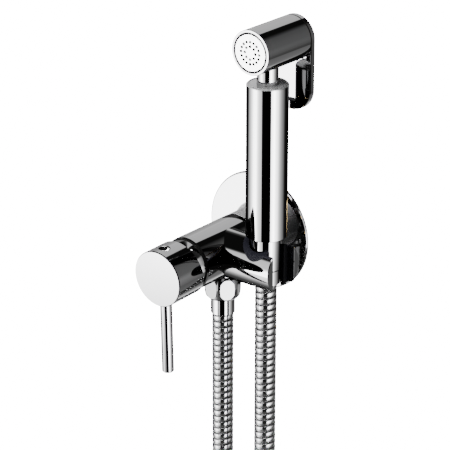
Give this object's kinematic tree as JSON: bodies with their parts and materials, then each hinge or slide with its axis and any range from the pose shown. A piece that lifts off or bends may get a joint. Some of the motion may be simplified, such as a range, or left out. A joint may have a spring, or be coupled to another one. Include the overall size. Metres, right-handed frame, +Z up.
{
  "type": "concealed bidet shower mixer",
  "caption": "Round wall-mounted bidet mixer with a lever knob, a holder arm and a trigger hand shower that hangs in it on a ribbed hose.",
  "frame": {"origin": "point where the mixer barrel's axis meets the finished wall surface", "axes": "+Z up, +Y into the wall along the barrel's axis, +X towards the holder arm"},
  "size_m": [0.1362, 0.1582, 0.629],
  "materials": {
    "chrome_plate": "polished chrome plate",
    "hose_strip": "bright ribbed metal strip",
    "raw_brass": "raw casting and turned brass",
    "stainless": "plain stainless steel",
    "white_plastic": "moulded",
    "spray_white": "satin moulded face",
    "grey_plastic": "moulded",
    "black_plastic": "satin moulded liner",
    "ceramic": "lapped ceramic",
    "black_rubber": "matt rubber",
    "foam_seal": "closed-cell foam"
  },
  "bodies": {
    "mixer": {"inlet_body": "raw_brass", "fixing_bracket": "stainless", "check_valves": "white_plastic", "flange": "chrome_plate", "flange_seal": "foam_seal", "collar": "chrome_plate", "port_seals": "black_rubber", "lock_screws": "raw_brass", "mixer_body": "chrome_plate", "outlet_washer": "black_rubber", "hex_nut": "chrome_plate", "outlet_ferrule": "chrome_plate", "hose_fall": "hose_strip", "cartridge_seals": "black_rubber", "cartridge_base": "white_plastic", "fixed_disc": "ceramic", "cartridge_housing": "white_plastic", "retaining_nut": "raw_brass", "trim_gasket": "black_rubber", "trim_dome": "chrome_plate", "holder_liner": "black_plastic"},
    "turner": {"turner": "grey_plastic", "stem_pin": "stainless"},
    "control": {"stem": "raw_brass", "knob": "chrome_plate", "clamp_screw": "stainless", "screw_plug": "black_plastic", "pin_lever": "chrome_plate"},
    "disc": {"moving_disc": "ceramic"},
    "handset": {"hose_rise": "hose_strip", "handset_ferrule": "chrome_plate", "cone_nut": "chrome_plate", "handset_washer": "black_rubber", "handle_end": "raw_brass", "handle_sleeve": "chrome_plate", "inner_tube": "white_plastic", "handle_top": "chrome_plate", "neck": "chrome_plate", "neck_seal": "black_rubber", "head_body": "chrome_plate", "spray_plate": "spray_white", "nozzle_mat": "black_rubber", "spray_insert": "white_plastic", "valve_spring": "stainless", "stem_gland": "raw_brass", "stem_seal": "black_rubber", "lever_pin": "stainless"},
    "trigger": {"lever_plate": "chrome_plate", "link_pin": "stainless", "lever_bumper": "chrome_plate"},
    "valve": {"valve_stem": "stainless", "valve_disc": "black_rubber"}
  },
  "joints": [
    {"name": "temperature_turn", "type": "hinge", "parent": "mixer", "child": "turner", "pos_m": [0, -0.073, 0], "axis": [0, 1, 0], "range_deg": [-45, 45]},
    {"name": "flow_lift", "type": "hinge", "parent": "turner", "child": "control", "pos_m": [0, -0.073, 0], "axis": [-1, 0, 0], "range_deg": [0, 22]},
    {"name": "disc_slide", "type": "slide", "parent": "turner", "child": "disc", "axis": [0, 0, -1], "range_m": [0, 0.0052]},
    {"name": "handset_lift", "type": "slide", "parent": "mixer", "child": "handset", "axis": [0, 0, 1], "range_m": [0, 0.03]},
    {"name": "trigger_press", "type": "hinge", "parent": "handset", "child": "trigger", "pos_m": [0.0385, -0.0202, 0.1306], "axis": [-1, 0, 0], "range_deg": [0, 14.5], "stiffness_Nm_per_rad": 0.18, "springref_deg": -18.91, "deforming": ["valve_spring"]},
    {"name": "valve_pull", "type": "slide", "parent": "handset", "child": "valve", "axis": [0, 1, 0], "range_m": [0, 0.0031]}
  ],
  "couplings": [
    {"joint": "disc_slide", "follows": "flow_lift", "m_per_rad": 0.01327},
    {"joint": "valve_pull", "follows": "trigger_press", "m_per_rad": 0.0122}
  ]
}
